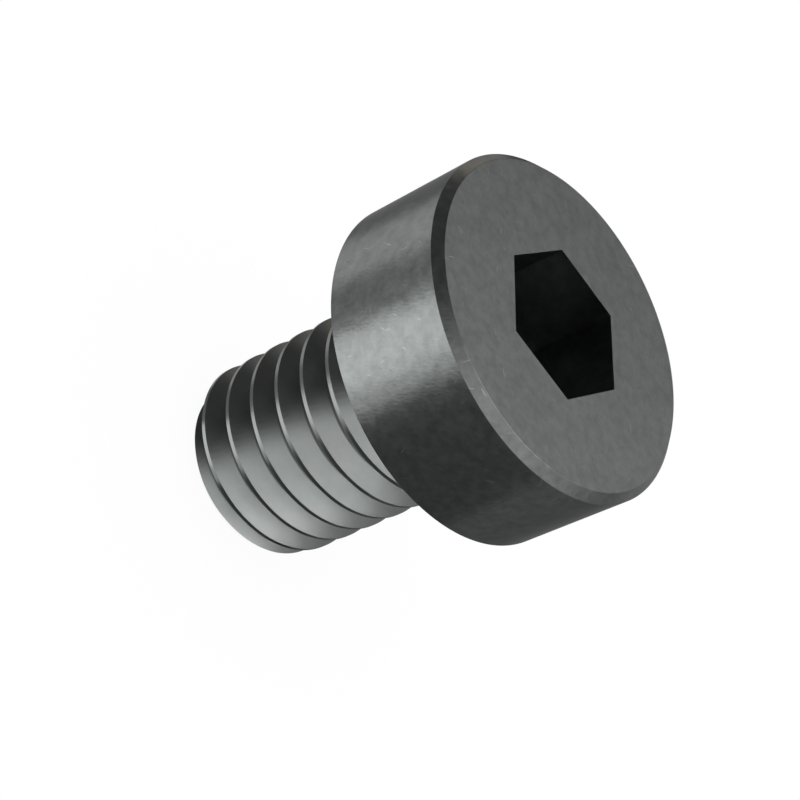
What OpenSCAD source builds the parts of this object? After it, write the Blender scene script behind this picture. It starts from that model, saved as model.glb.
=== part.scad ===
/* [Head] */
// Diameter of the head
head_d = 10; // [8.5:0.1:13]
// Height of the head above its bearing face
head_h = 3.82; // [3.6:0.02:6]
// Width of the 45 degree bevel round the top edge
head_bevel = 0.25; // [0.1:0.05:0.6]
// Width of the 45 degree edge break round the underside
under_break = 0.08; // [0.02:0.02:0.3]

/* [Socket] */
// Distance across the flats of the hexagon socket
socket_af = 4.06; // [2.5:0.02:5]
// Depth of the socket's flat walls
socket_depth = 3; // [1.5:0.1:3.2]
// Depth of the shallow punch cone in the socket's floor
punch_cone = 0.4; // [0.1:0.1:0.8]
// Width of the flat ledge between the socket's flats and the punch cone
punch_ledge = 0.12; // [0.04:0.04:0.4]

/* [Shank] */
// Length of the shank, from the bearing face to the flat tip
shank_l = 8; // [6:0.5:40]
// Length under the head that the full thread leaves free
neck_l = 1.2; // [1:0.1:3]
// Width of the 45 degree bevel round the tip
tip_bevel = 0.44; // [0.2:0.02:0.7]

/* [Thread] */
// Diameter over the crests, a little under the thread's nominal size of 6
crest_d = 5.91; // [5:0.01:6.5]
// Pitch of the right-hand thread, from crest to crest
pitch = 1; // [0.5:0.05:1.1]
// Turns in which the groove fades out towards the head
run_out = 0.7; // [0.4:0.1:1]
// Angle round the axis at which a crest meets the plane of the tip
thread_start = -92; // [-180:1:180]
// Straight steps in one turn of the thread
turn_steps = 48; // [36:12:72]
// Gap between the crests and the inner edge of the bearing face
seat_gap = 0.03; // [0.01:0.01:0.2]

/* [Hidden] */
steel = "#3a3d3d";
round_steps = 96;

head_r = head_d / 2;
top_z = shank_l + head_h;
crest_r = crest_d / 2;
tip_r = crest_r - tip_bevel;
thread_end = shank_l - neck_l;

// A metric thread is cut from sharp triangles with 60 degrees between the flanks.
flank_slope = tan(30);
sharp_h = pitch / 2 / flank_slope;
crest_half = pitch / 16;
root_depth = sharp_h * 17 / 24;
root_round = sharp_h / 6;
// The neck keeps the diameter of the blank that the thread is rolled on.
neck_r = crest_r - sharp_h * 3 / 8;
neck_fillet = crest_r + seat_gap - neck_r;

// The groove's section stands a little proud of the crests, so that it cuts them cleanly.
proud = pitch / 20;
root_angles = [60, 0, -60];
// The sweep starts below the tip and ends beside the neck, clear of the metal at both ends.
groove_low = -0.75 * pitch;
groove_high = thread_end + run_out * pitch;
groove_steps = ceil((groove_high - groove_low) / pitch * turn_steps);
// The groove runs half a pitch above the crest below it.
groove_angle = thread_start + (groove_low - pitch / 2) / pitch * 360;

// How far the groove has risen out of the thread at the height z.
function lift(z) = root_depth * max(0, min(1, (z - thread_end) / (run_out * pitch)));

// One section of the groove, as points of radius and height from its middle.
function section(rise) =
    let (
        open_r = crest_r + proud,
        open_half = pitch / 2 - crest_half + (proud - rise) * flank_slope,
        floor_r = crest_r - root_depth + rise
    )
    concat(
        [[open_r, open_half]],
        [for (a = root_angles) [floor_r + root_round * (1 - cos(a)), root_round * sin(a)]],
        [[open_r, -open_half]]
    );

// The section's points at one step of the sweep.
function station(step) =
    let (
        z = groove_low + step * pitch / turn_steps,
        angle = groove_angle + step * 360 / turn_steps
    )
    [for (p = section(lift(z))) [p[0] * cos(angle), p[0] * sin(angle), z + p[1]]];

// The helical groove between the crests, as a closed solid.
module thread_groove() {
    corners = len(root_angles) + 2;
    walls = [
        for (step = [0:groove_steps - 1], c = [0:corners - 1])
            let (next = (c + 1) % corners, here = step * corners, ahead = here + corners)
            [here + c, here + next, ahead + next, ahead + c]
    ];
    first_cap = [for (c = [corners - 1:-1:0]) c];
    last_cap = [for (c = [0:corners - 1]) groove_steps * corners + c];
    polyhedron(
        points = [for (step = [0:groove_steps]) each station(step)],
        faces = concat(walls, [first_cap, last_cap]),
        convexity = 10
    );
}

// Half section of the head, with its top bevel and its underside's edge break.
module head_section() {
    polygon([
        [0, shank_l],
        [head_r - under_break, shank_l],
        [head_r, shank_l + under_break],
        [head_r, top_z - head_bevel],
        [head_r - head_bevel, top_z],
        [0, top_z]
    ]);
}

// Half section of the shank, before the thread is cut: tip bevel, crests and neck.
module shank_section() {
    polygon([
        [0, 0],
        [tip_r, 0],
        [crest_r, tip_bevel],
        [crest_r, thread_end],
        [neck_r, thread_end + (crest_r - neck_r) / flank_slope],
        [neck_r, shank_l],
        [0, shank_l]
    ]);
}

// Half section of the fillet where the neck meets the underside of the head.
module fillet_section() {
    difference() {
        translate([neck_r, shank_l - neck_fillet]) square(neck_fillet);
        translate([neck_r + neck_fillet, shank_l - neck_fillet]) circle(neck_fillet, $fn = round_steps);
    }
}

// The turned blank: head, neck and shank as one body of revolution.
module blank() {
    rotate_extrude($fn = round_steps) {
        head_section();
        shank_section();
        fillet_section();
    }
}

// The hexagon socket, with the shallow cone that the punch leaves in its floor.
module socket() {
    floor_z = top_z - socket_depth;
    translate([0, 0, floor_z]) cylinder(h = socket_depth + head_bevel, d = socket_af / cos(30), $fn = 6);
    translate([0, 0, floor_z - punch_cone])
        cylinder(h = punch_cone, r1 = 0, r2 = socket_af / 2 - punch_ledge, $fn = round_steps);
}

module cap_screw() {
    color(steel) difference() {
        blank();
        thread_groove();
        socket();
    }
}

cap_screw();
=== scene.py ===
"""Looks of a low head socket cap screw: one cold formed steel piece with a black oxide finish.

The screw is modelled again as it is made. A blank is turned from its half section, a helical groove
is swept round its shank, and a hexagon is punched into its head.
"""

import logging
import math
from dataclasses import dataclass
from enum import IntEnum
from typing import Any

import bmesh
import bpy
from mathutils import Matrix, Vector


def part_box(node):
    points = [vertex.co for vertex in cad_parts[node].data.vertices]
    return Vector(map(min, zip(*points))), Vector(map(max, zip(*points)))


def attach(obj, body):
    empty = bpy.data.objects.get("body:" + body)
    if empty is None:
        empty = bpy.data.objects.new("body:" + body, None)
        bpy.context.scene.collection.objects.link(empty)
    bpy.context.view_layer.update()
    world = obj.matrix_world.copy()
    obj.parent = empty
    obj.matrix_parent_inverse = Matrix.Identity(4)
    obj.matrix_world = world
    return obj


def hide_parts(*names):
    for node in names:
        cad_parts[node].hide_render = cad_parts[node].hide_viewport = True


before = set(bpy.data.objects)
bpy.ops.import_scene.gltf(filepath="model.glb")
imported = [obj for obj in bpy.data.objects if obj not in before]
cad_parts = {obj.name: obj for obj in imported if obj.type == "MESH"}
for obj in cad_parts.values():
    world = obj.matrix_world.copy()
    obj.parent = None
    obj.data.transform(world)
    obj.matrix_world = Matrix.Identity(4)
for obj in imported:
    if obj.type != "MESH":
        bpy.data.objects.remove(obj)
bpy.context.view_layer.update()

LOG = logging.getLogger("cap_screw")
MM = 0.001
NODE = "cap_screw"
LAY_MAP = "lay"
UP = Vector((0, 0, 1))
# A length in millimetres that is smaller than any feature and larger than a rounding error.
HAIR = 0.0001
# The flanks of a metric thread stand 60 degrees apart, so each leans 30 degrees from the radius.
FLANK_SLOPE = math.tan(math.radians(30))
# Half the width of a metric thread's crest, as a share of the pitch.
CREST_HALF_SHARE = 1 / 16
# Depth of the rolling blank and of the root below the crests, and the root's radius, as shares of
# the height of the sharp triangle that the thread is cut from.
BLANK_SHARE = 3 / 8
ROOT_SHARE = 17 / 24
ROOT_ROUND_SHARE = 1 / 6


def srgb(code: str) -> tuple[float, float, float, float]:
    """Turn an sRGB hex colour to the linear colour that a shader takes.

    Args:
        code: Six hex digits, such as "8a8f90".

    Returns:
        Linear red, green, blue and an alpha of 1.
    """
    parts = [int(code[i : i + 2], 16) / 255 for i in (0, 2, 4)]
    linear = [p / 12.92 if p <= 0.04045 else ((p + 0.055) / 1.055) ** 2.4 for p in parts]
    return (*linear, 1.0)


def add_node(
    tree: bpy.types.NodeTree, kind: str, inputs: dict[Any, Any], **settings: Any
) -> bpy.types.Node:
    """Add a node, set its properties, and set or link its inputs.

    Args:
        tree: Node tree that the node joins.
        kind: Type of the node, such as "ShaderNodeTexNoise".
        inputs: Value or output socket for each input, by its name or place.
        settings: Properties of the node, such as its operation.

    Returns:
        The new node.
    """
    made = tree.nodes.new(kind)
    for name, value in settings.items():
        setattr(made, name, value)
    for key, value in inputs.items():
        if isinstance(value, bpy.types.NodeSocket):
            tree.links.new(value, made.inputs[key])
        else:
            made.inputs[key].default_value = value
    return made


@dataclass(frozen=True)
class ScrewSizes:
    """Sizes of the screw in millimetres and angles in degrees, with z = 0 at the flat tip."""

    head_d: float
    total_h: float
    shank_l: float = 8.0
    head_bevel: float = 0.25
    under_break: float = 0.03
    socket_af: float = 4.06
    socket_depth: float = 3.0
    punch_cone: float = 0.4
    punch_ledge: float = 0.12
    neck_l: float = 1.2
    tip_bevel: float = 0.44
    crest_d: float = 5.91
    pitch: float = 1.0
    # Turns in which the groove fades out beside the neck.
    run_out: float = 0.7
    # Angle round the axis at which a crest meets the plane of the tip.
    thread_start: float = -92.0
    seat_gap: float = 0.03
    # Length that forming and tumbling round off on each side of an edge.
    edge_round: float = 0.008

    @classmethod
    def from_frame(cls) -> "ScrewSizes":
        """Take the head's diameter and the whole height from the CAD node's box.

        Returns:
            The sizes, with the head and the height a hair inside the box.
        """
        low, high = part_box(NODE)
        head_r = min(-low.x, high.x, -low.y, high.y) / MM - HAIR
        return cls(head_d=2 * head_r, total_h=high.z / MM - HAIR)

    @property
    def head_r(self) -> float:
        """Radius of the head."""
        return self.head_d / 2

    @property
    def crest_r(self) -> float:
        """Radius over the thread's crests."""
        return self.crest_d / 2

    @property
    def thread_end(self) -> float:
        """Height at which the full thread ends."""
        return self.shank_l - self.neck_l

    @property
    def sharp_h(self) -> float:
        """Height of the sharp triangle that the thread is cut from."""
        return self.pitch / 2 / FLANK_SLOPE

    @property
    def neck_r(self) -> float:
        """Radius of the neck, which is the blank that the thread is rolled on."""
        return self.crest_r - self.sharp_h * BLANK_SHARE

    @property
    def root_depth(self) -> float:
        """Depth of the thread from its crests to the bottom of its round root."""
        return self.sharp_h * ROOT_SHARE

    @property
    def socket_corner_r(self) -> float:
        """Radius at the corners of the hexagon socket."""
        return self.socket_af / 2 / math.cos(math.radians(30))


def new_object(name: str, bm: bmesh.types.BMesh) -> bpy.types.Object:
    """Turn a bmesh in millimetres into an object in metres at the origin.

    Args:
        name: Name of the object and its mesh.
        bm: The finished bmesh, which is freed.

    Returns:
        The linked object.
    """
    bmesh.ops.scale(bm, vec=(MM, MM, MM), verts=bm.verts)
    mesh = bpy.data.meshes.new(name)
    bm.to_mesh(mesh)
    bm.free()
    made = bpy.data.objects.new(name, mesh)
    bpy.context.scene.collection.objects.link(made)
    return made


@dataclass
class Blank:
    """The turned blank: head, neck and shank as one body of revolution."""

    sizes: ScrewSizes
    steps: int = 192
    edge_segments: int = 3
    fillet_segments: int = 10

    def build(self) -> bpy.types.Object:
        """Round the corners of the half section, then spin it once round the axis.

        Returns:
            The blank as a closed object.
        """
        s = self.sizes
        bm = bmesh.new()
        neck_top = s.thread_end + (s.crest_r - s.neck_r) / FLANK_SLOPE
        fillet = s.crest_r + s.seat_gap - s.neck_r
        edge = s.edge_round
        # Radius, height and rounding of each corner of the half section, from the tip to the top.
        corners = [
            (0, 0, 0),
            (s.crest_r - s.tip_bevel, 0, edge),
            (s.crest_r, s.tip_bevel, 0),
            (s.crest_r, s.thread_end, 0),
            (s.neck_r, neck_top, edge),
            (s.neck_r, s.shank_l, fillet),
            (s.head_r - s.under_break, s.shank_l, edge),
            (s.head_r, s.shank_l + s.under_break, edge),
            (s.head_r, s.total_h - s.head_bevel, edge),
            (s.head_r - s.head_bevel, s.total_h, edge),
            (0, s.total_h, 0),
        ]
        points = [bm.verts.new((r, 0, z)) for r, z, _ in corners]
        bm.faces.new(points)
        for point, (_, _, size) in zip(points, corners):
            if size:
                segments = self.fillet_segments if size == fillet else self.edge_segments
                bmesh.ops.bevel(
                    bm, geom=[point], affect="VERTICES", offset=size,
                    segments=segments, profile=0.5, material=-1,
                )
        bmesh.ops.delete(bm, geom=bm.faces[:], context="FACES_ONLY")
        axis_edges = [e for e in bm.edges if all(abs(v.co.x) < HAIR for v in e.verts)]
        bmesh.ops.delete(bm, geom=axis_edges, context="EDGES")
        bmesh.ops.spin(
            bm, geom=bm.verts[:] + bm.edges[:], cent=(0, 0, 0), axis=UP,
            angle=math.tau, steps=self.steps, use_merge=True,
        )
        bmesh.ops.remove_doubles(bm, verts=bm.verts, dist=HAIR)
        bmesh.ops.recalc_face_normals(bm, faces=bm.faces)
        return new_object("blank", bm)


@dataclass
class ThreadGroove:
    """The helical groove between the crests, as a closed cutter."""

    sizes: ScrewSizes
    # Steps in one turn of the helix.
    steps: int = 96
    # The groove stands this far proud of the crests, so that it cuts them cleanly.
    proud: float = 0.05
    root_segments: int = 5
    # Turns of the groove that lie below the tip.
    lead_in: float = 0.75

    @property
    def start_z(self) -> float:
        """Height of the groove's middle where it starts."""
        return -self.lead_in * self.sizes.pitch

    def section(self, bm: bmesh.types.BMesh) -> bmesh.types.BMFace:
        """Draw the groove's section at its start: two flanks at 60 degrees and a round root.

        Args:
            bm: The bmesh to draw in.

        Returns:
            The section's face.
        """
        s = self.sizes
        open_half = s.pitch / 2 - s.pitch * CREST_HALF_SHARE
        sharp_r = s.crest_r - open_half / FLANK_SLOPE
        lip = self.proud * FLANK_SLOPE
        corners = [
            (s.crest_r + self.proud, open_half + lip),
            (sharp_r, 0),
            (s.crest_r + self.proud, -open_half - lip),
        ]
        points = [bm.verts.new((r, 0, z)) for r, z in corners]
        bm.faces.new(points)
        # A round root takes this length off each flank.
        cut_back = s.sharp_h * ROOT_ROUND_SHARE / FLANK_SLOPE
        bmesh.ops.bevel(
            bm, geom=[points[1]], affect="VERTICES", offset=cut_back,
            segments=self.root_segments, profile=0.5, material=-1,
        )
        # The groove runs half a pitch above the crest below it.
        angle = math.radians(s.thread_start) + (self.start_z / s.pitch - 0.5) * math.tau
        turn = Matrix.Translation((0, 0, self.start_z)) @ Matrix.Rotation(angle, 4, "Z")
        bmesh.ops.transform(bm, matrix=turn, verts=bm.verts)
        return bm.faces[:][0]

    def build(self) -> bpy.types.Object:
        """Sweep the section up the shank, then let it rise out of the metal beside the neck.

        Returns:
            The cutter as a closed object.
        """
        s = self.sizes
        bm = bmesh.new()
        face = self.section(bm)
        rise = Vector((0, 0, s.pitch / self.steps))
        turn = math.tau / self.steps
        full = round((s.thread_end - self.start_z) / s.pitch * self.steps)
        swept = bmesh.ops.spin(
            bm, geom=[face] + face.edges[:] + face.verts[:], cent=(0, 0, 0), axis=UP, dvec=rise,
            angle=turn * full, steps=full,
        )
        ring = swept["geom_last"]
        fading = round(s.run_out * self.steps)
        lift = s.root_depth / fading
        middle = s.thread_end
        for _ in range(fading):
            swept = bmesh.ops.spin(
                bm, geom=ring, cent=(0, 0, 0), axis=UP, dvec=rise, angle=turn, steps=1
            )
            ring = swept["geom_last"]
            middle += rise.z
            # The root moves outward, and the lips close in by the slope of the flanks.
            for vert in (g for g in ring if isinstance(g, bmesh.types.BMVert)):
                outward = Vector((vert.co.x, vert.co.y, 0))
                if outward.length < s.crest_r + self.proud / 2:
                    vert.co += outward.normalized() * lift
                else:
                    vert.co.z -= math.copysign(lift * FLANK_SLOPE, vert.co.z - middle)
        bmesh.ops.recalc_face_normals(bm, faces=bm.faces)
        return new_object("groove", bm)


@dataclass
class Socket:
    """The hexagon that is punched into the head, as closed cutters."""

    sizes: ScrewSizes
    # The hexagon stands this far above the head, so that it cuts the top cleanly.
    above: float = 0.5
    cone_steps: int = 96
    # The cone is drawn on past the socket's floor by this share of its depth.
    cone_extra: float = 0.1

    def walls(self) -> bpy.types.Object:
        """Extrude a hexagon from the socket's floor to above the head.

        Returns:
            The hexagonal cutter.
        """
        s = self.sizes
        bm = bmesh.new()
        made = bmesh.ops.create_circle(bm, cap_ends=True, segments=6, radius=s.socket_corner_r)
        # A circle's first corner lies on +Y, and the socket has one on +X.
        turn = Matrix.Rotation(math.radians(30), 3, "Z")
        bmesh.ops.rotate(bm, verts=made["verts"], cent=(0, 0, 0), matrix=turn)
        raised = bmesh.ops.extrude_face_region(bm, geom=bm.faces[:])
        tops = [g for g in raised["geom"] if isinstance(g, bmesh.types.BMVert)]
        bmesh.ops.translate(bm, verts=tops, vec=(0, 0, s.socket_depth + self.above))
        bmesh.ops.translate(bm, verts=bm.verts, vec=(0, 0, s.total_h - s.socket_depth))
        bmesh.ops.recalc_face_normals(bm, faces=bm.faces)
        return new_object("socket_walls", bm)

    def cone(self) -> bpy.types.Object:
        """Make the shallow cone that the punch leaves in the floor.

        Returns:
            The conical cutter.
        """
        s = self.sizes
        bm = bmesh.new()
        radius = s.socket_af / 2 - s.punch_ledge
        depth = s.punch_cone * (1 + self.cone_extra)
        bmesh.ops.create_cone(
            bm, cap_ends=True, segments=self.cone_steps,
            radius1=0, radius2=radius * (1 + self.cone_extra), depth=depth,
        )
        low = s.total_h - s.socket_depth - s.punch_cone
        bmesh.ops.translate(bm, verts=bm.verts, vec=(0, 0, low + depth / 2))
        bmesh.ops.remove_doubles(bm, verts=bm.verts, dist=HAIR)
        bmesh.ops.recalc_face_normals(bm, faces=bm.faces)
        return new_object("socket_cone", bm)


class Region(IntEnum):
    """Parts of the surface by how they were made, each with a finish of its own."""

    HEAD = 0
    SOCKET = 1
    THREAD = 2


@dataclass(frozen=True)
class Strokes:
    """Short marks scattered along the lay of a surface, at most one in each cell."""

    tone: str
    cell_mm: float
    half_length_mm: float
    half_width_mm: float
    # Share of the cells that hold a mark, from a faint one to a full one.
    share: float
    # Degrees between the outermost directions of the marks.
    spread: float = 70.0
    # Share of a mark that is full, before it fades to its edge.
    core: float = 0.4

    def mask(self, tree: bpy.types.NodeTree, place: bpy.types.NodeSocket) -> bpy.types.NodeSocket:
        """Draw the marks.

        Args:
            tree: The material's node tree.
            place: Place on the surface in millimetres, with its first axis along the lay.

        Returns:
            A mask that is 1 in the middle of a mark and 0 outside it.
        """
        cells = add_node(
            tree, "ShaderNodeTexVoronoi",
            {"Vector": place, "Scale": 1 / self.cell_mm}, voronoi_dimensions="2D",
        )
        draws = add_node(tree, "ShaderNodeSeparateColor", {"Color": cells.outputs["Color"]})
        away = add_node(
            tree, "ShaderNodeVectorMath",
            {0: place, 1: cells.outputs["Position"]}, operation="SUBTRACT",
        )
        half_spread = math.radians(self.spread / 2)
        angle = add_node(
            tree, "ShaderNodeMapRange",
            {"Value": draws.outputs["Red"], "To Min": -half_spread, "To Max": half_spread},
        )
        turned = add_node(
            tree, "ShaderNodeVectorRotate",
            {"Vector": away.outputs[0], "Angle": angle.outputs[0]}, rotation_type="Z_AXIS",
        )
        size = (1 / self.half_length_mm, 1 / self.half_width_mm, 0)
        scaled = add_node(
            tree, "ShaderNodeVectorMath", {0: turned.outputs[0], 1: size}, operation="MULTIPLY"
        )
        reach = add_node(tree, "ShaderNodeVectorMath", {0: scaled.outputs[0]}, operation="LENGTH")
        shape = add_node(
            tree, "ShaderNodeMapRange",
            {"Value": reach.outputs["Value"], "From Min": 1.0, "From Max": self.core},
            interpolation_type="SMOOTHSTEP",
        )
        chosen = add_node(
            tree, "ShaderNodeMapRange", {"Value": draws.outputs["Green"], "From Min": 1 - self.share}
        )
        return add_node(
            tree, "ShaderNodeMath", {0: shape.outputs[0], 1: chosen.outputs[0]}, operation="MULTIPLY"
        ).outputs[0]


@dataclass(frozen=True)
class BlackOxide:
    """Black oxide on alloy steel: a thin magnetite skin, oiled, dark grey with a dull metallic sheen."""

    name: str
    dark_tone: str
    light_tone: str
    # Where the skin is thinner, it turns a little brown.
    warm_tone: str
    cloud_mm: float
    cloud_height_mm: float
    grain_length_mm: float
    grain_width_mm: float
    grain_height_mm: float
    strokes: tuple[Strokes, ...] = ()
    patch_mm: float = 2.4
    warm_most: float = 0.1
    smoothest: float = 0.275
    roughest: float = 0.305
    # The skin stays dark at a grazing view, where bare metal would turn white.
    edge_tone: str = "bcbcbc"
    # Between these values of their noise, the shade, the warmth and the roughness run from end to end.
    shade_span: tuple[float, float] = (0.3, 0.7)
    warm_span: tuple[float, float] = (0.4, 0.7)
    rough_span: tuple[float, float] = (0.35, 0.65)
    # How many finer layers a noise has, and how strongly those of the clouds show.
    cloud_layers: float = 3.0
    cloud_fineness: float = 0.6
    other_layers: float = 2.0

    def material(self) -> bpy.types.Material:
        """Build the finish.

        Returns:
            The material.
        """
        made = bpy.data.materials.new(self.name)
        made.use_nodes = True
        tree = made.node_tree
        shader = tree.nodes["Principled BSDF"]
        shader.inputs["Metallic"].default_value = 1.0
        shader.inputs["Specular Tint"].default_value = srgb(self.edge_tone)
        where = add_node(tree, "ShaderNodeTexCoord", {})
        solid = add_node(
            tree, "ShaderNodeVectorMath",
            {0: where.outputs["Object"], "Scale": 1 / MM}, operation="SCALE",
        )
        lay = add_node(tree, "ShaderNodeUVMap", {}, uv_map=LAY_MAP)
        clouds = add_node(
            tree, "ShaderNodeTexNoise",
            {"Vector": solid.outputs[0], "Scale": 1 / self.cloud_mm,
             "Detail": self.cloud_layers, "Roughness": self.cloud_fineness},
        )
        patches = add_node(
            tree, "ShaderNodeTexNoise",
            {"Vector": solid.outputs[0], "Scale": 1 / self.patch_mm, "Detail": self.other_layers},
        )
        colour = self.colour(tree, clouds.outputs[0], patches.outputs[0], lay.outputs[0])
        tree.links.new(colour, shader.inputs["Base Color"])
        rough = add_node(
            tree, "ShaderNodeMapRange",
            {"Value": clouds.outputs[0], "From Min": self.rough_span[0], "From Max": self.rough_span[1],
             "To Min": self.smoothest, "To Max": self.roughest},
        )
        tree.links.new(rough.outputs[0], shader.inputs["Roughness"])
        tree.links.new(self.relief(tree, clouds.outputs[0], lay.outputs[0]), shader.inputs["Normal"])
        return made

    def colour(
        self, tree: bpy.types.NodeTree, clouds: bpy.types.NodeSocket, patches: bpy.types.NodeSocket,
        lay: bpy.types.NodeSocket,
    ) -> bpy.types.NodeSocket:
        """Mix the clouds, the brown patches and the marks.

        Args:
            tree: The material's node tree.
            clouds: Fine noise.
            patches: Broad noise.
            lay: Place on the surface in millimetres.

        Returns:
            The colour.
        """
        shade = add_node(
            tree, "ShaderNodeMapRange",
            {"Value": clouds, "From Min": self.shade_span[0], "From Max": self.shade_span[1]},
        )
        warmth = add_node(
            tree, "ShaderNodeMapRange",
            {"Value": patches, "From Min": self.warm_span[0], "From Max": self.warm_span[1],
             "To Max": self.warm_most},
        )
        layers = [
            (shade.outputs[0], self.light_tone),
            (warmth.outputs[0], self.warm_tone),
            *((marks.mask(tree, lay), marks.tone) for marks in self.strokes),
        ]
        under: Any = srgb(self.dark_tone)
        for share, tone in layers:
            # A colour mix takes its factor at place 0 and its colours at places 6 and 7.
            mixed = add_node(
                tree, "ShaderNodeMix", {0: share, 6: under, 7: srgb(tone)}, data_type="RGBA"
            )
            under = mixed.outputs[2]
        return under

    def relief(
        self, tree: bpy.types.NodeTree, clouds: bpy.types.NodeSocket, lay: bpy.types.NodeSocket
    ) -> bpy.types.NodeSocket:
        """Raise the clouds a little, and the fine grain along the lay on top of them.

        Args:
            tree: The material's node tree.
            clouds: Fine noise.
            lay: Place on the surface in millimetres.

        Returns:
            The bent normal.
        """
        size = (1 / self.grain_length_mm, 1 / self.grain_width_mm, 0)
        stretched = add_node(tree, "ShaderNodeVectorMath", {0: lay, 1: size}, operation="MULTIPLY")
        grain = add_node(
            tree, "ShaderNodeTexNoise",
            {"Vector": stretched.outputs[0], "Scale": 1.0, "Detail": self.other_layers},
            noise_dimensions="2D",
        )
        swell = add_node(
            tree, "ShaderNodeBump", {"Height": clouds, "Distance": self.cloud_height_mm * MM}
        )
        fine = add_node(
            tree, "ShaderNodeBump",
            {"Height": grain.outputs[0], "Distance": self.grain_height_mm * MM,
             "Normal": swell.outputs[0]},
        )
        return fine.outputs[0]


# The dies leave soft clouds in the oxide of the cold formed head. Tumbling leaves a fine grain,
# short rubs where the skin is thin, short dark nicks, and a few longer light scratches.
FORMED_HEAD = BlackOxide(
    name="cold_formed_black_oxide",
    dark_tone="5f6261",
    light_tone="6e7170",
    warm_tone="686460",
    cloud_mm=0.3,
    cloud_height_mm=0.0016,
    grain_length_mm=0.2,
    grain_width_mm=0.08,
    grain_height_mm=0.0028,
    strokes=(
        Strokes(tone="7b7e7d", cell_mm=0.4, half_length_mm=0.1, half_width_mm=0.02, share=0.25),
        Strokes(tone="505352", cell_mm=0.3, half_length_mm=0.07, half_width_mm=0.02, share=0.2),
        Strokes(
            tone="8a8d8c", cell_mm=0.9, half_length_mm=0.17, half_width_mm=0.016, share=0.4, spread=170
        ),
    ),
)
# The punch drags its lines down the socket's walls, so they are streaked along the axis.
PUNCHED_SOCKET = BlackOxide(
    name="punched_black_oxide",
    dark_tone="5f6261",
    light_tone="6f7271",
    warm_tone="625f5c",
    cloud_mm=0.5,
    cloud_height_mm=0.004,
    grain_length_mm=1.6,
    grain_width_mm=0.09,
    grain_height_mm=0.006,
)
# Rolling burnishes the flanks and the neck, so they are smooth, with a trace of lines along the thread.
ROLLED_THREAD = BlackOxide(
    name="rolled_black_oxide",
    dark_tone="636665",
    light_tone="696c6b",
    warm_tone="676562",
    cloud_mm=0.6,
    cloud_height_mm=0.001,
    grain_length_mm=1.8,
    grain_width_mm=0.07,
    grain_height_mm=0.0006,
    warm_most=0.2,
    smoothest=0.28,
    roughest=0.3,
)
FINISHES = {Region.HEAD: FORMED_HEAD, Region.SOCKET: PUNCHED_SOCKET, Region.THREAD: ROLLED_THREAD}


@dataclass
class Surface:
    """Sorts the screw's faces by how they were made, and lays a map in millimetres along each lay."""

    sizes: ScrewSizes
    # Tumbling rubs the head's side mostly at this angle from its rim, and its flat top at the other.
    side_lay: float = 62.0
    top_lay: float = -23.0
    # A face is flat where its normal's part along the axis is more than this.
    flat: float = 0.9

    def region(self, face: bpy.types.MeshPolygon) -> Region:
        """Tell which part of the surface a face belongs to.

        Args:
            face: A face of the screw, in metres.

        Returns:
            The region.
        """
        s = self.sizes
        place = face.center / MM
        radius = math.hypot(place.x, place.y)
        inside = place.z > s.total_h - s.socket_depth and radius < s.socket_corner_r
        # The punch drags along the socket's walls only, and its tip forms the floor like the top.
        if inside and abs(face.normal.z) < self.flat:
            return Region.SOCKET
        return Region.HEAD if place.z > s.shank_l - HAIR else Region.THREAD

    def turned(self, across: float, along: float, angle: float) -> tuple[float, float]:
        """Turn a place on the surface so that the first axis runs along the lay.

        Args:
            across: Place along the rim or along X.
            along: Place up the axis or along Y.
            angle: Angle of the lay in degrees.

        Returns:
            The turned place.
        """
        c, s = math.cos(math.radians(angle)), math.sin(math.radians(angle))
        return across * c + along * s, along * c - across * s

    def place(self, region: Region, face: bpy.types.MeshPolygon, at: Vector) -> tuple[float, float]:
        """Give the place of a corner on the map.

        Args:
            region: Region of the face.
            face: The face.
            at: The corner in millimetres.

        Returns:
            The place in millimetres.
        """
        s = self.sizes
        if abs(face.normal.z) > self.flat:
            return self.turned(at.x, at.y, self.top_lay)
        if region is Region.SOCKET:
            wall = face.normal.cross(UP)
            return at.z, at.dot(wall)
        # The angle of a corner is counted from its face's middle, so that no face spans the seam.
        middle = math.atan2(face.center.y, face.center.x)
        turn = middle + math.remainder(math.atan2(at.y, at.x) - middle, math.tau)
        if region is Region.HEAD:
            return self.turned(turn * s.head_r, at.z, self.side_lay)
        # The thread's own place counts the turns, so that its lines run on from turn to turn.
        groove = (turn - math.radians(s.thread_start)) / math.tau * s.pitch
        count = round((face.center.z / MM - groove) / s.pitch - 0.5)
        return (turn + count * math.tau) * s.crest_r, at.z - groove - count * s.pitch

    def dress(self, mesh: bpy.types.Mesh) -> None:
        """Give each face its finish and its map.

        Args:
            mesh: The screw's mesh in metres.
        """
        mesh.materials.clear()
        for region in Region:
            mesh.materials.append(FINISHES[region].material())
        layer = mesh.uv_layers.new(name=LAY_MAP)
        for face in mesh.polygons:
            region = self.region(face)
            face.material_index = region
            for loop in face.loop_indices:
                at = mesh.vertices[mesh.loops[loop].vertex_index].co / MM
                layer.uv[loop].vector = self.place(region, face, at)


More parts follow.
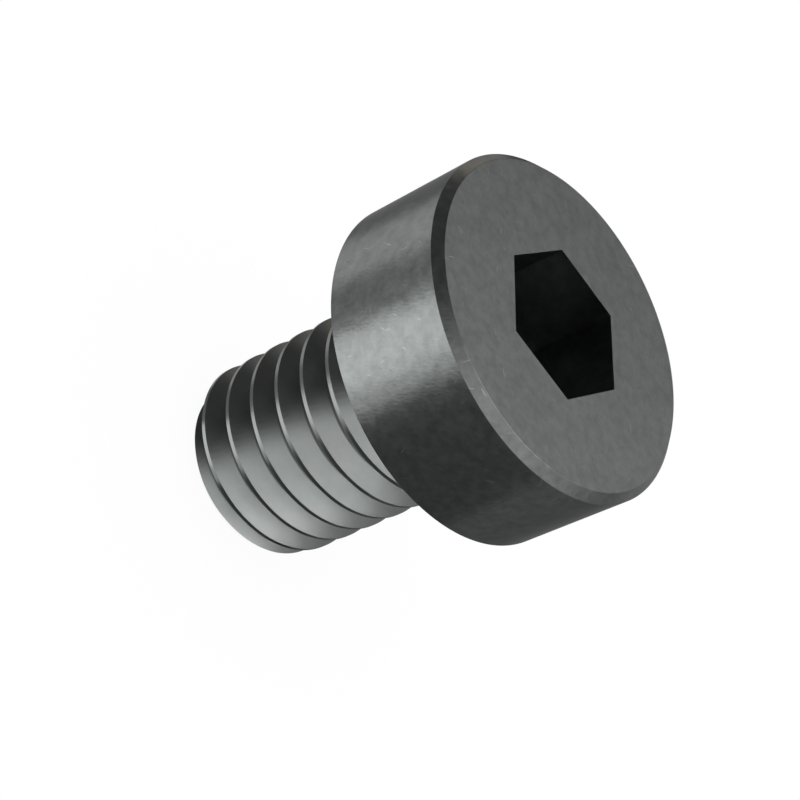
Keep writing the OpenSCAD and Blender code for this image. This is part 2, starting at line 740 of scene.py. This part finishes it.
@dataclass
class CapScrew:
    """The screw itself, cut from its blank."""

    sizes: ScrewSizes
    # An edge that turns by more degrees than this shades sharp.
    smooth_angle: float = 24.0
    # So does one that turns by more than this, where one face has this many times the other's area.
    flat_angle: float = 6.0
    flat_ratio: float = 14.0

    def put_in_order(self, mesh: bpy.types.Mesh) -> None:
        """Sort the edges and the faces, because the cut leaves them in another order each time.

        Args:
            mesh: The screw's mesh.
        """
        bm = bmesh.new()
        bm.from_mesh(mesh)
        count = len(bm.verts)

        def rank(part: bmesh.types.BMEdge | bmesh.types.BMFace) -> int:
            """Make one number of the lowest corners, which no other edge or face has.

            Args:
                part: An edge, or a face, which shares at most two corners with the next.

            Returns:
                The number.
            """
            number = 0
            for corner in sorted(vert.index for vert in part.verts)[:3]:
                number = number * count + corner
            return number

        bm.edges.sort(key=rank)
        bm.faces.sort(key=rank)
        bm.to_mesh(mesh)
        bm.free()

    def part_flats(self, mesh: bpy.types.Mesh) -> None:
        """Mark the borders between flats and their narrow rounded edges, so that a flat shades flat.

        Args:
            mesh: The screw's mesh.
        """
        bm = bmesh.new()
        bm.from_mesh(mesh)
        least_turn = math.radians(self.flat_angle)
        for edge in bm.edges:
            small, large = sorted(face.calc_area() for face in edge.link_faces)
            if large > self.flat_ratio * small and edge.calc_face_angle() > least_turn:
                edge.smooth = False
        bm.to_mesh(mesh)
        bm.free()

    def build(self) -> bpy.types.Object:
        """Cut the thread and the socket into the blank, shade the round faces smooth and dress them.

        Returns:
            The finished piece.
        """
        blank = Blank(self.sizes).build()
        socket = Socket(self.sizes)
        cutters = [ThreadGroove(self.sizes).build(), socket.walls(), socket.cone()]
        for cutter in cutters:
            cut = blank.modifiers.new(cutter.name, "BOOLEAN")
            cut.operation = "DIFFERENCE"
            cut.solver = "MANIFOLD"
            cut.object = cutter
        graph = bpy.context.evaluated_depsgraph_get()
        mesh = bpy.data.meshes.new_from_object(blank.evaluated_get(graph))
        for spare in (blank, *cutters):
            bpy.data.objects.remove(spare)
        mesh.name = "screw"
        self.put_in_order(mesh)
        mesh.shade_smooth()
        mesh.set_sharp_from_angle(angle=math.radians(self.smooth_angle))
        self.part_flats(mesh)
        Surface(self.sizes).dress(mesh)
        made = bpy.data.objects.new("screw", mesh)
        bpy.context.scene.collection.objects.link(made)
        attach(made, "root")
        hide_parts(NODE)
        return made


@dataclass(frozen=True)
class View:
    """The camera, placed as in the photograph, in millimetres."""

    eye: tuple[float, float, float] = (-18.018, -45.78, 42.296)
    forward: tuple[float, float, float] = (0.29416, 0.74739, -0.59571)
    up: tuple[float, float, float] = (-0.75132, 0.56608, 0.33922)
    lens: float = 97.75
    nearest: float = 1.0

    def toward(self, bearing: float, elevation: float) -> Vector:
        """Give a direction from the screw, by its bearing from the camera's side and its height.

        Args:
            bearing: Degrees to the camera's right round the screw, seen from above.
            elevation: Degrees above the floor.

        Returns:
            The unit vector.
        """
        angle = math.atan2(self.eye[1], self.eye[0]) + math.radians(bearing)
        rise = math.radians(elevation)
        flat = math.cos(rise)
        return Vector((math.cos(angle) * flat, math.sin(angle) * flat, math.sin(rise)))

    def build(self) -> None:
        """Make the camera."""
        data = bpy.data.cameras.new("camera")
        data.lens = self.lens
        data.clip_start = self.nearest * MM
        made = bpy.data.objects.new("camera", data)
        bpy.context.scene.collection.objects.link(made)
        forward, up = Vector(self.forward), Vector(self.up)
        turned = Matrix((forward.cross(up), up, -forward)).transposed().to_4x4()
        made.matrix_world = Matrix.Translation(Vector(self.eye) * MM) @ turned
        bpy.context.scene.camera = made


def show_white(tree: bpy.types.NodeTree) -> bpy.types.NodeSocket:
    """Tell the rays that show the white surroundings: straight, mirrored or through glass.

    Args:
        tree: Node tree of the floor or the world.

    Returns:
        A factor of 1 for those rays and 0 for the light that falls on things.
    """
    path = add_node(tree, "ShaderNodeLightPath", {})
    seen = path.outputs["Is Camera Ray"]
    for kind in ("Is Glossy Ray", "Is Transmission Ray"):
        either = add_node(
            tree, "ShaderNodeMath", {0: seen, 1: path.outputs[kind]}, operation="MAXIMUM"
        )
        seen = either.outputs[0]
    return seen


@dataclass(frozen=True)
class SoftLamp:
    """A large round lamp far from the screw, by its direction and its half angle in degrees."""

    name: str
    bearing: float
    elevation: float
    half_angle: float
    # Brightness of the lamp's face, where 1 is white.
    radiance: float
    distance: float = 500.0

    def build(self, view: View) -> None:
        """Hang the lamp so that it faces the screw.

        Args:
            view: The camera that bearings start from.
        """
        outward = view.toward(self.bearing, self.elevation)
        light = bpy.data.lights.new(self.name, "AREA")
        light.shape = "DISK"
        light.size = 2 * self.distance * math.tan(math.radians(self.half_angle)) * MM
        # A disk gives off pi times its area times its radiance.
        light.energy = self.radiance * math.pi * math.pi / 4 * light.size**2
        # The light has to reach the thread behind the head too, so it casts no shadow, and no ray is
        # sent to the lamp that the head could stop. The daylight keeps its shadow.
        light.use_shadow = False
        light.cycles.use_multiple_importance_sampling = False
        made = bpy.data.objects.new(self.name, light)
        made.location = outward * self.distance * MM
        made.rotation_euler = outward.to_track_quat("Z", "Y").to_euler()
        made.visible_camera = False
        bpy.context.scene.collection.objects.link(made)


def make_card(name: str, bm: bmesh.types.BMesh, level: str, radiance: float) -> None:
    """Turn a bmesh into a card that only mirrored rays see.

    Args:
        name: Name of the card.
        bm: Its shape in millimetres.
        level: Its colour.
        radiance: Brightness of a white card, where 1 is white.
    """
    card = new_object(name, bm)
    paper = bpy.data.materials.new(name)
    paper.use_nodes = True
    tree = paper.node_tree
    tree.nodes.clear()
    shine = add_node(tree, "ShaderNodeEmission", {"Color": srgb(level), "Strength": radiance})
    add_node(tree, "ShaderNodeOutputMaterial", {"Surface": shine.outputs[0]})
    paper.cycles.emission_sampling = "NONE"
    card.data.materials.append(paper)
    card.visible_camera = False
    card.visible_diffuse = False
    card.visible_transmission = False
    card.visible_shadow = False


@dataclass(frozen=True)
class Card:
    """A part of a ring on the floor, from one bearing to another, that gives a band of reflection."""

    name: str
    first: float
    last: float
    level: str
    radiance: float = 1.0
    near: float = 3.1
    far: float = 40.0
    height: float = 0.1
    # Degrees in one step of the arc.
    step: float = 5.0

    def build(self, view: View) -> None:
        """Cut the card and lay it on the floor.

        Args:
            view: The camera that bearings start from.
        """
        bm = bmesh.new()
        start = view.toward(self.first, 0)
        ends = [bm.verts.new(start * reach + UP * self.height) for reach in (self.near, self.far)]
        edge = bm.edges.new(ends)
        sweep = self.last - self.first
        bmesh.ops.spin(
            bm, geom=[*ends, edge], cent=(0, 0, 0), axis=UP,
            angle=math.radians(sweep), steps=round(sweep / self.step),
        )
        make_card(self.name, bm, self.level, self.radiance)


@dataclass(frozen=True)
class Flag:
    """A flat card that hangs in the air and faces the screw, with its width and height in millimetres."""

    name: str
    bearing: float
    elevation: float
    width: float
    height: float
    level: str
    radiance: float = 1.0
    distance: float = 320.0

    def build(self, view: View) -> None:
        """Hang the card.

        Args:
            view: The camera that bearings start from.
        """
        outward = view.toward(self.bearing, self.elevation)
        across = UP.cross(outward).normalized()
        turn = Matrix((across, outward.cross(across), outward)).transposed().to_4x4()
        place = Matrix.Translation(outward * self.distance) @ turn
        bm = bmesh.new()
        # A grid's size is half its width.
        bmesh.ops.create_grid(bm, x_segments=1, y_segments=1, size=0.5)
        bmesh.ops.scale(bm, vec=(self.width, self.height, 1), verts=bm.verts)
        bmesh.ops.transform(bm, matrix=place, verts=bm.verts)
        make_card(self.name, bm, self.level, self.radiance)


@dataclass
class Studio:
    """White surroundings, soft lamps, reflection cards and the camera."""

    view: View
    floor_r: float = 600.0
    floor_steps: int = 64
    floor_tone: str = "f2f2f2"
    # The floor is white to the eye, less this share, which takes the light and shows the shadow.
    shadow_share: float = 0.1
    # Strength of the plain light that comes from all sides.
    daylight: float = 0.78
    lamps: tuple[SoftLamp, ...] = (
        SoftLamp("right_lamp", bearing=85, elevation=63, half_angle=14, radiance=2.8),
        SoftLamp("front_lamp", bearing=34, elevation=68, half_angle=12, radiance=1.2),
        SoftLamp("left_lamp", bearing=-32, elevation=68, half_angle=12, radiance=1.05),
        SoftLamp("high_lamp", bearing=0, elevation=84, half_angle=16, radiance=1.9),
        SoftLamp("low_lamp", bearing=112, elevation=50, half_angle=10, radiance=1.9),
        SoftLamp("back_lamp", bearing=170, elevation=47, half_angle=12, radiance=0.55),
    )
    # Together the cards go once round the screw, and each gives one band of what the head's side
    # and the thread mirror. The brightest one makes the light band on the head's side.
    cards: tuple[Card, ...] = (
        Card("side_card", first=-45, last=-13.5, level="ffffff", radiance=3.1),
        Card("half_card", first=-13.5, last=-1.5, level="ffffff", radiance=1.7),
        Card("dark_card", first=-1.5, last=78, level="737373"),
        Card("grey_card", first=78, last=170, level="adadad"),
        Card("back_card", first=170, last=206, level="616161", far=90),
        Card("far_card", first=206, last=250, level="c2c2c2"),
        Card("rim_card", first=250, last=284, level="ffffff", radiance=1.7),
        Card("left_card", first=284, last=315, level="d0d0d0"),
    )
    # The flags do the same for the bevel and the flanks, and the warm one gives the bevel a warm end.
    flags: tuple[Flag, ...] = (
        Flag("left_flag", bearing=-95, elevation=49, width=620, height=540, level="6c6c6c"),
        Flag("right_flag", bearing=105, elevation=12, width=410, height=146, level="b9b9b9"),
        Flag("back_flag", bearing=196, elevation=18, width=260, height=120, level="a2a2a2"),
        Flag("warm_flag", bearing=217, elevation=4, width=140, height=70, level="ffefdf", radiance=1.6),
    )

    def floor(self) -> None:
        """Lay a white floor that keeps the screw's shadow."""
        bm = bmesh.new()
        bmesh.ops.create_circle(bm, cap_ends=True, segments=self.floor_steps, radius=self.floor_r)
        plane = new_object("floor", bm)
        paper = bpy.data.materials.new("floor_paper")
        paper.use_nodes = True
        tree = paper.node_tree
        tree.nodes.clear()
        matt = add_node(tree, "ShaderNodeBsdfDiffuse", {"Color": srgb(self.floor_tone)})
        white = add_node(tree, "ShaderNodeEmission", {})
        share = add_node(
            tree, "ShaderNodeMath", {0: show_white(tree), 1: 1 - self.shadow_share}, operation="MULTIPLY"
        )
        mixed = add_node(
            tree, "ShaderNodeMixShader", {0: share.outputs[0], 1: matt.outputs[0], 2: white.outputs[0]}
        )
        add_node(tree, "ShaderNodeOutputMaterial", {"Surface": mixed.outputs[0]})
        paper.cycles.emission_sampling = "NONE"
        plane.data.materials.append(paper)

    def air(self) -> None:
        """Make the world white to the eye and to reflections, and plain daylight for the rest."""
        world = bpy.data.worlds.new("studio")
        bpy.context.scene.world = world
        world.use_nodes = True
        tree = world.node_tree
        strength = add_node(
            tree, "ShaderNodeMapRange", {"Value": show_white(tree), "To Min": self.daylight, "To Max": 1.0}
        )
        sky = tree.nodes["Background"]
        sky.inputs["Color"].default_value = srgb("ffffff")
        tree.links.new(strength.outputs[0], sky.inputs["Strength"])
        world.cycles.sampling_method = "NONE"

    def build(self) -> None:
        """Build the stage."""
        self.floor()
        self.air()
        for thing in (*self.lamps, *self.cards, *self.flags):
            thing.build(self.view)
            LOG.info("studio: %s", thing.name)
        self.view.build()
        bpy.context.scene.view_settings.view_transform = "Standard"


def main() -> None:
    """Build the screw and its studio."""
    logging.basicConfig(level=logging.INFO, format="%(message)s")
    screw = CapScrew(ScrewSizes.from_frame()).build()
    LOG.info("screw: %d faces", len(screw.data.polygons))
    Studio(View()).build()


if __name__ == "__main__":
    main()
